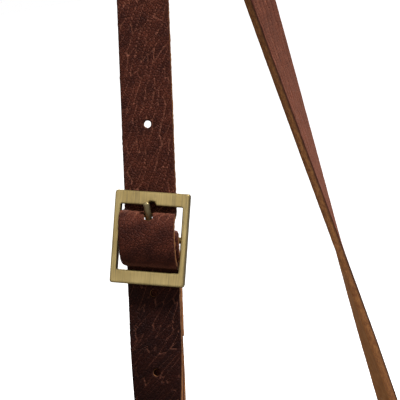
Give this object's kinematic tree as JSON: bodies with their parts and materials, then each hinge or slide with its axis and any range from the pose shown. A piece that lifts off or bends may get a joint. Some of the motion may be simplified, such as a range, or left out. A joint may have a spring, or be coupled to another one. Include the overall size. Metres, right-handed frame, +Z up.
{
  "type": "crossbody purse",
  "caption": "Leather flap bag on a long buckled shoulder strap, with side rings, a magnetic snap under the flap and a sliding keeper.",
  "frame": {"origin": "middle of the base's flat underside, on the floor the bag stands on", "axes": "+X to the bag's right seen from the front, -Y out of the front, +Z up along the strap"},
  "size_m": [0.2068, 0.0736, 0.683],
  "materials": {
    "leather": "pebbled grain with raw tan cut edges",
    "strap_leather": "pebbled grain with raw tan cut edges",
    "lining": "woven cotton",
    "board": "pressed fibreboard",
    "brass": "antique, brushed",
    "steel": "satin"
  },
  "bodies": {
    "bag": {"back_panel": "leather", "front_panel": "leather", "gusset": "leather", "flap_root": "leather", "lining": "lining", "back_pocket": "lining", "base_board": "board", "snap_post": "brass", "snap_washer": "steel", "ring_tab_left": "leather", "ring_tab_right": "leather", "tab_rivets": "brass"},
    "flap": {"flap": "leather", "snap_socket": "brass", "snap_cap": "brass"},
    "left_ring": {"ring_left": "brass"},
    "right_ring": {"ring_right": "brass"},
    "strap": {"short_strap": "strap_leather", "short_strap_rivets": "brass", "fold_rivets": "brass", "long_strap": "strap_leather", "long_strap_rivets": "brass"},
    "buckle": {"buckle_frame": "brass", "buckle_bar": "brass"},
    "prong": {"buckle_prong": "brass"},
    "keeper_loop": {"keeper": "strap_leather"}
  },
  "joints": [
    {"name": "flap_hinge", "type": "hinge", "parent": "bag", "child": "flap", "pos_m": [0, 0.0333, 0.1431], "axis": [-1, 0, 0], "range_deg": [0, 150]},
    {"name": "strap_swing", "type": "hinge", "parent": "bag", "child": "strap", "pos_m": [0, 0, 0.158], "axis": [1, 0, 0], "range_deg": [-75, 75]},
    {"name": "ring_spin_left", "type": "hinge", "parent": "bag", "child": "left_ring", "pos_m": [-0.097, 0, 0.158], "axis": [1, 0, 0], "continuous": true},
    {"name": "ring_spin_right", "type": "hinge", "parent": "bag", "child": "right_ring", "pos_m": [0.097, 0, 0.158], "axis": [1, 0, 0], "continuous": true},
    {"name": "buckle_rock", "type": "hinge", "parent": "strap", "child": "buckle", "pos_m": [-0.04525, -0.00219, 0.4746], "axis": [0.6283, -0.7443, -0.2263], "range_deg": [-2, 2]},
    {"name": "prong_lift", "type": "hinge", "parent": "buckle", "child": "prong", "pos_m": [-0.04525, -0.00219, 0.4746], "axis": [0.6283, -0.7443, -0.2263], "range_deg": [0, 10]},
    {"name": "keeper_slide", "type": "slide", "parent": "strap", "child": "keeper_loop", "axis": [0.1771, 0, 0.9842], "range_m": [-0.02, 0.003]}
  ]
}
